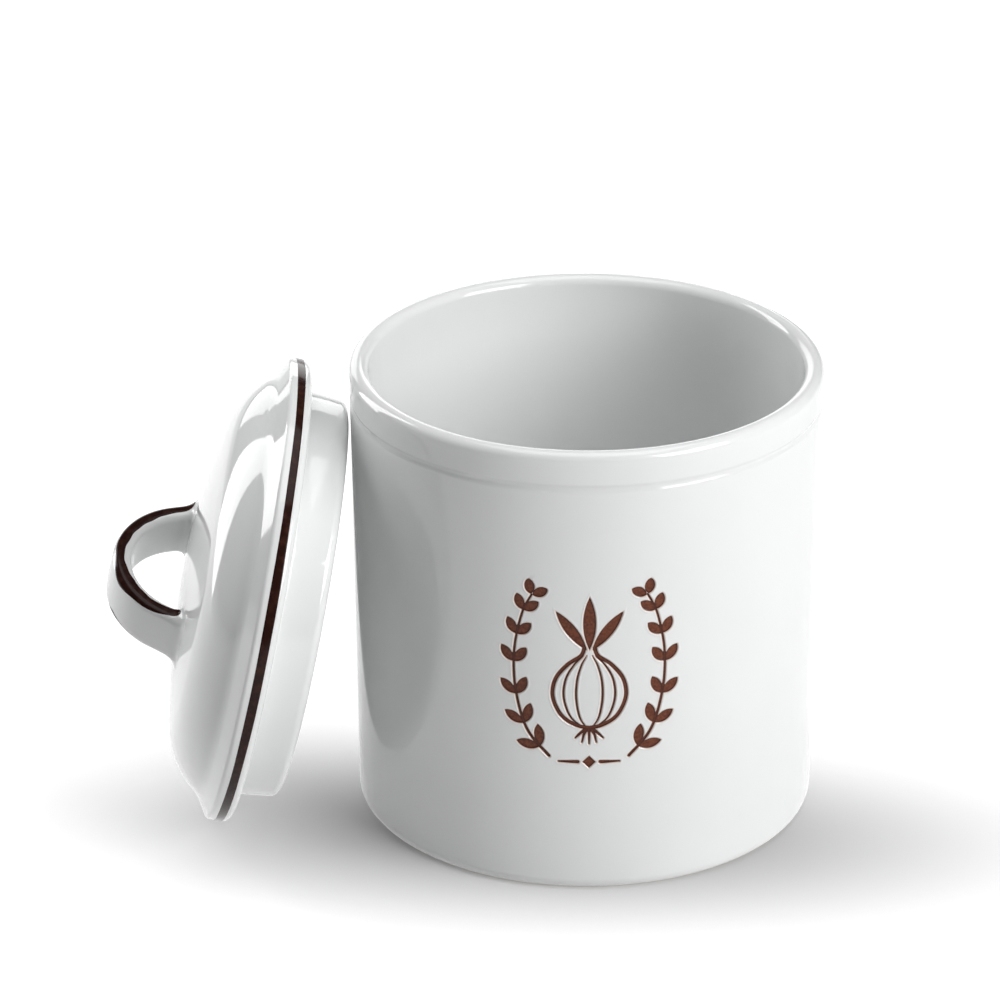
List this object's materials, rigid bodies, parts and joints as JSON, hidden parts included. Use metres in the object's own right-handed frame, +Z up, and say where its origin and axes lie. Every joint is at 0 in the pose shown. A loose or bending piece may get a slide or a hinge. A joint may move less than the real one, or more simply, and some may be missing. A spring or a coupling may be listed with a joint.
{
  "type": "lidded storage canister",
  "caption": "Glazed ceramic storage canister with a rim band and groove, shown open: its domed lid, with a strap handle and brown painted lines, leans against the side.",
  "frame": {"origin": "middle of the foot ring, on its standing face", "axes": "+Z up along the canister's axis, -Y towards the front of the canister, -X towards the lid that leans on it"},
  "size_m": [0.271, 0.1861, 0.1785],
  "materials": {
    "glaze_white": "glossy glaze",
    "line_brown": "glossy glaze"
  },
  "bodies": {
    "canister": {"canister_body": "glaze_white"},
    "lid": {"lid_shell": "glaze_white", "lid_handle": "glaze_white", "lid_rim_line": "line_brown", "handle_upper_line": "line_brown", "handle_lower_line": "line_brown"}
  },
  "joints": [
    {"name": "lid_lift", "type": "slide", "parent": "canister", "child": "lid", "axis": [0, 0, 1], "range_m": [0, 0.25]}
  ]
}
